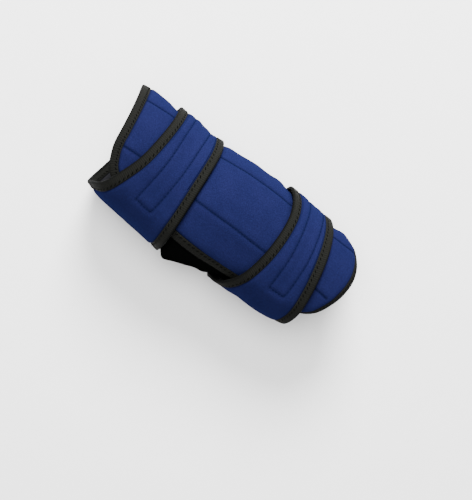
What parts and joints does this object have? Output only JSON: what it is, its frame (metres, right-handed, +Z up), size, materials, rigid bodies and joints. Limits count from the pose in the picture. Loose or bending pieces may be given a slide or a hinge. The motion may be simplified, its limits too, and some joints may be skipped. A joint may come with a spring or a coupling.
{
  "type": "elbow brace",
  "caption": "Padded elbow brace, closed: a front panel round the arm, two tapered wing straps over it, a stretch gusset at the elbow point and taped edges.",
  "frame": {"origin": "centre of the footprint, on the surface that the brace lies on", "axes": "+X from the upper end to the lower end, +Y towards the inside of the elbow, +Z up, away from the surface"},
  "size_m": [0.2544, 0.1182, 0.1052],
  "materials": {
    "blue_loop_laminate": "matt brushed loop cloth over foam",
    "binding_tape": "ribbed woven tape",
    "black_stretch": "smooth knitted stretch cloth over foam",
    "hook_tape": "nylon hook tape"
  },
  "bodies": {
    "root": {"front_panel": "blue_loop_laminate", "front_panel_binding": "binding_tape", "elbow_gusset": "black_stretch", "upper_strap": "blue_loop_laminate", "upper_strap_binding": "binding_tape", "upper_hook_patch": "hook_tape", "lower_strap": "blue_loop_laminate", "lower_strap_binding": "binding_tape", "lower_hook_patch": "hook_tape"}
  },
  "joints": []
}
